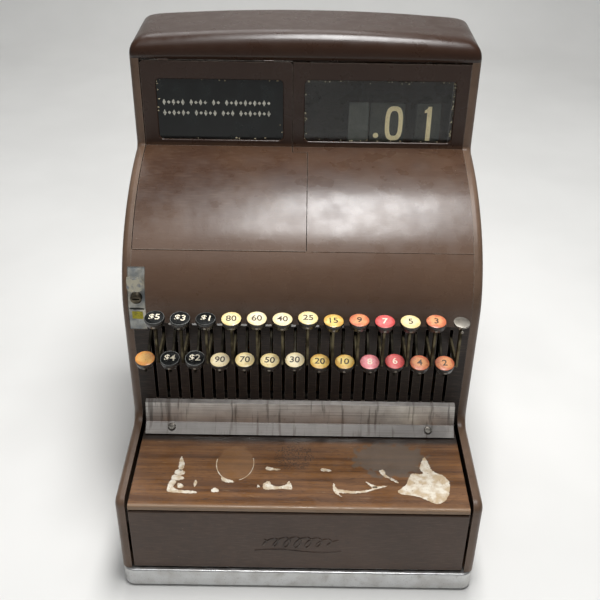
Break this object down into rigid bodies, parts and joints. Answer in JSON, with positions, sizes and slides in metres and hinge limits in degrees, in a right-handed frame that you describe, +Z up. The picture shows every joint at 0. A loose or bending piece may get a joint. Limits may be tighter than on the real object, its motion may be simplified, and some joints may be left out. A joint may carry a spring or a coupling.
{
  "type": "cash register",
  "caption": "Small key-driven cash register: two rows of round keys over a wooden shelf, arched hood, window head and a slide-out drawer.",
  "frame": {"origin": "middle of the footprint, on the surface the register stands on", "axes": "+X to the clerk's right, +Y from the clerk to the back, +Z up"},
  "size_m": [0.375, 0.4, 0.513],
  "materials": {
    "brown_paint": "glossy baked enamel, worn at edges",
    "bright_plate": "plated, aged and pitted",
    "black_rubber": "matt",
    "steel": "satin, oiled",
    "window_glass": "clear",
    "walnut": "worn varnish",
    "beech": "varnished",
    "key_plastic": "moulded",
    "flag_enamel": "dark enamel",
    "bell_brass": "polished"
  },
  "bodies": {
    "cabinet": {"base_pan": "bright_plate", "rubber_feet": "black_rubber", "left_side": "brown_paint", "right_side": "brown_paint", "roof": "brown_paint", "key_panel": "brown_paint", "front_cover": "brown_paint", "right_glass": "window_glass", "back_cover": "brown_paint", "lid_hinge_pin": "steel", "lock_plate": "bright_plate", "key_rail": "bright_plate", "screws": "steel", "wood_shelf": "walnut", "drawer_runners": "steel", "drawer_spring": "steel", "frame_plates": "steel", "cross_bars": "steel", "key_shaft": "steel", "key_springs": "steel", "flags_lowered": "flag_enamel", "flag_guides": "steel", "bell": "bell_brass"},
    "drawer": {"drawer_front": "brown_paint", "drawer_box": "beech", "till_tray": "beech"},
    "left_lid": {"left_lid": "brown_paint", "left_glass": "window_glass"},
    "lock": {"lock_cylinder": "steel"},
    "drawer_latch": {"drawer_latch": "steel"},
    "bell_hammer": {"bell_hammer": "steel"},
    "flag_dollars": {"flag_dollars": "flag_enamel"},
    "flag_tens": {"flag_tens": "flag_enamel"},
    "flag_units": {"flag_units": "flag_enamel"},
    "key_01": {"key_01": "key_plastic"},
    "key_02": {"key_02": "key_plastic"},
    "key_03": {"key_03": "key_plastic"},
    "key_04": {"key_04": "key_plastic"},
    "key_05": {"key_05": "key_plastic"},
    "key_06": {"key_06": "key_plastic"},
    "key_07": {"key_07": "key_plastic"},
    "key_08": {"key_08": "key_plastic"},
    "key_09": {"key_09": "key_plastic"},
    "key_10": {"key_10": "key_plastic"},
    "key_11": {"key_11": "key_plastic"},
    "key_12": {"key_12": "key_plastic"},
    "key_13": {"key_13": "key_plastic"},
    "key_14": {"key_14": "key_plastic"},
    "key_15": {"key_15": "key_plastic"},
    "key_16": {"key_16": "key_plastic"},
    "key_17": {"key_17": "key_plastic"},
    "key_18": {"key_18": "key_plastic"},
    "key_19": {"key_19": "key_plastic"},
    "key_20": {"key_20": "key_plastic"},
    "key_21": {"key_21": "key_plastic"},
    "key_22": {"key_22": "key_plastic"},
    "key_23": {"key_23": "key_plastic"},
    "key_24": {"key_24": "key_plastic"},
    "key_25": {"key_25": "key_plastic"},
    "key_26": {"key_26": "key_plastic"}
  },
  "joints": [
    {"name": "drawer_slide", "type": "slide", "parent": "cabinet", "child": "drawer", "axis": [0, -1, 0], "range_m": [0, 0.26]},
    {"name": "left_lid_hinge", "type": "hinge", "parent": "cabinet", "child": "left_lid", "pos_m": [-0.09, 0.0916, 0.484], "axis": [-1, 0, 0], "range_deg": [0, 95]},
    {"name": "lock_turn", "type": "hinge", "parent": "cabinet", "child": "lock", "pos_m": [-0.172, -0.066, 0.283], "axis": [0, 1, 0], "range_deg": [0, 90]},
    {"name": "latch_lift", "type": "hinge", "parent": "cabinet", "child": "drawer_latch", "pos_m": [0.06, 0.172, 0.122], "axis": [1, 0, 0], "range_deg": [0, 12], "stiffness_Nm_per_rad": 0.1, "springref_deg": -11.46},
    {"name": "hammer_swing", "type": "hinge", "parent": "cabinet", "child": "bell_hammer", "pos_m": [-0.1215, 0.15, 0.18], "axis": [1, 0, 0], "range_deg": [-2, 20], "stiffness_Nm_per_rad": 0.3},
    {"name": "flag_dollars_lift", "type": "slide", "parent": "cabinet", "child": "flag_dollars", "axis": [0, 0, 1], "range_m": [-0.048, 0]},
    {"name": "flag_tens_lift", "type": "slide", "parent": "cabinet", "child": "flag_tens", "axis": [0, 0, 1], "range_m": [-0.048, 0]},
    {"name": "flag_units_lift", "type": "slide", "parent": "cabinet", "child": "flag_units", "axis": [0, 0, 1], "range_m": [-0.048, 0]},
    {"name": "key_01_press", "type": "hinge", "parent": "cabinet", "child": "key_01", "pos_m": [-0.15875, 0.036, 0.222], "axis": [1, 0, 0], "range_deg": [0, 10], "stiffness_Nm_per_rad": 0.8, "springref_deg": -14.32},
    {"name": "key_02_press", "type": "hinge", "parent": "cabinet", "child": "key_02", "pos_m": [-0.14605, 0.036, 0.222], "axis": [1, 0, 0], "range_deg": [0, 10], "stiffness_Nm_per_rad": 0.8, "springref_deg": -14.32},
    {"name": "key_03_press", "type": "hinge", "parent": "cabinet", "child": "key_03", "pos_m": [-0.13335, 0.036, 0.222], "axis": [1, 0, 0], "range_deg": [0, 10], "stiffness_Nm_per_rad": 0.8, "springref_deg": -14.32},
    {"name": "key_04_press", "type": "hinge", "parent": "cabinet", "child": "key_04", "pos_m": [-0.12065, 0.036, 0.222], "axis": [1, 0, 0], "range_deg": [0, 10], "stiffness_Nm_per_rad": 0.8, "springref_deg": -14.32},
    {"name": "key_05_press", "type": "hinge", "parent": "cabinet", "child": "key_05", "pos_m": [-0.10795, 0.036, 0.222], "axis": [1, 0, 0], "range_deg": [0, 10], "stiffness_Nm_per_rad": 0.8, "springref_deg": -14.32},
    {"name": "key_06_press", "type": "hinge", "parent": "cabinet", "child": "key_06", "pos_m": [-0.09525, 0.036, 0.222], "axis": [1, 0, 0], "range_deg": [0, 10], "stiffness_Nm_per_rad": 0.8, "springref_deg": -14.32},
    {"name": "key_07_press", "type": "hinge", "parent": "cabinet", "child": "key_07", "pos_m": [-0.08255, 0.036, 0.222], "axis": [1, 0, 0], "range_deg": [0, 10], "stiffness_Nm_per_rad": 0.8, "springref_deg": -14.32},
    {"name": "key_08_press", "type": "hinge", "parent": "cabinet", "child": "key_08", "pos_m": [-0.06985, 0.036, 0.222], "axis": [1, 0, 0], "range_deg": [0, 10], "stiffness_Nm_per_rad": 0.8, "springref_deg": -14.32},
    {"name": "key_09_press", "type": "hinge", "parent": "cabinet", "child": "key_09", "pos_m": [-0.05715, 0.036, 0.222], "axis": [1, 0, 0], "range_deg": [0, 10], "stiffness_Nm_per_rad": 0.8, "springref_deg": -14.32},
    {"name": "key_10_press", "type": "hinge", "parent": "cabinet", "child": "key_10", "pos_m": [-0.04445, 0.036, 0.222], "axis": [1, 0, 0], "range_deg": [0, 10], "stiffness_Nm_per_rad": 0.8, "springref_deg": -14.32},
    {"name": "key_11_press", "type": "hinge", "parent": "cabinet", "child": "key_11", "pos_m": [-0.03175, 0.036, 0.222], "axis": [1, 0, 0], "range_deg": [0, 10], "stiffness_Nm_per_rad": 0.8, "springref_deg": -14.32},
    {"name": "key_12_press", "type": "hinge", "parent": "cabinet", "child": "key_12", "pos_m": [-0.01905, 0.036, 0.222], "axis": [1, 0, 0], "range_deg": [0, 10], "stiffness_Nm_per_rad": 0.8, "springref_deg": -14.32},
    {"name": "key_13_press", "type": "hinge", "parent": "cabinet", "child": "key_13", "pos_m": [-0.00635, 0.036, 0.222], "axis": [1, 0, 0], "range_deg": [0, 10], "stiffness_Nm_per_rad": 0.8, "springref_deg": -14.32},
    {"name": "key_14_press", "type": "hinge", "parent": "cabinet", "child": "key_14", "pos_m": [0.00635, 0.036, 0.222], "axis": [1, 0, 0], "range_deg": [0, 10], "stiffness_Nm_per_rad": 0.8, "springref_deg": -14.32},
    {"name": "key_15_press", "type": "hinge", "parent": "cabinet", "child": "key_15", "pos_m": [0.01905, 0.036, 0.222], "axis": [1, 0, 0], "range_deg": [0, 10], "stiffness_Nm_per_rad": 0.8, "springref_deg": -14.32},
    {"name": "key_16_press", "type": "hinge", "parent": "cabinet", "child": "key_16", "pos_m": [0.03175, 0.036, 0.222], "axis": [1, 0, 0], "range_deg": [0, 10], "stiffness_Nm_per_rad": 0.8, "springref_deg": -14.32},
    {"name": "key_17_press", "type": "hinge", "parent": "cabinet", "child": "key_17", "pos_m": [0.04445, 0.036, 0.222], "axis": [1, 0, 0], "range_deg": [0, 10], "stiffness_Nm_per_rad": 0.8, "springref_deg": -14.32},
    {"name": "key_18_press", "type": "hinge", "parent": "cabinet", "child": "key_18", "pos_m": [0.05715, 0.036, 0.222], "axis": [1, 0, 0], "range_deg": [0, 10], "stiffness_Nm_per_rad": 0.8, "springref_deg": -14.32},
    {"name": "key_19_press", "type": "hinge", "parent": "cabinet", "child": "key_19", "pos_m": [0.06985, 0.036, 0.222], "axis": [1, 0, 0], "range_deg": [0, 10], "stiffness_Nm_per_rad": 0.8, "springref_deg": -14.32},
    {"name": "key_20_press", "type": "hinge", "parent": "cabinet", "child": "key_20", "pos_m": [0.08255, 0.036, 0.222], "axis": [1, 0, 0], "range_deg": [0, 10], "stiffness_Nm_per_rad": 0.8, "springref_deg": -14.32},
    {"name": "key_21_press", "type": "hinge", "parent": "cabinet", "child": "key_21", "pos_m": [0.09525, 0.036, 0.222], "axis": [1, 0, 0], "range_deg": [0, 10], "stiffness_Nm_per_rad": 0.8, "springref_deg": -14.32},
    {"name": "key_22_press", "type": "hinge", "parent": "cabinet", "child": "key_22", "pos_m": [0.10795, 0.036, 0.222], "axis": [1, 0, 0], "range_deg": [0, 10], "stiffness_Nm_per_rad": 0.8, "springref_deg": -14.32},
    {"name": "key_23_press", "type": "hinge", "parent": "cabinet", "child": "key_23", "pos_m": [0.12065, 0.036, 0.222], "axis": [1, 0, 0], "range_deg": [0, 10], "stiffness_Nm_per_rad": 0.8, "springref_deg": -14.32},
    {"name": "key_24_press", "type": "hinge", "parent": "cabinet", "child": "key_24", "pos_m": [0.13335, 0.036, 0.222], "axis": [1, 0, 0], "range_deg": [0, 10], "stiffness_Nm_per_rad": 0.8, "springref_deg": -14.32},
    {"name": "key_25_press", "type": "hinge", "parent": "cabinet", "child": "key_25", "pos_m": [0.14605, 0.036, 0.222], "axis": [1, 0, 0], "range_deg": [0, 10], "stiffness_Nm_per_rad": 0.8, "springref_deg": -14.32},
    {"name": "key_26_press", "type": "hinge", "parent": "cabinet", "child": "key_26", "pos_m": [0.15875, 0.036, 0.222], "axis": [1, 0, 0], "range_deg": [0, 10], "stiffness_Nm_per_rad": 0.8, "springref_deg": -14.32}
  ]
}
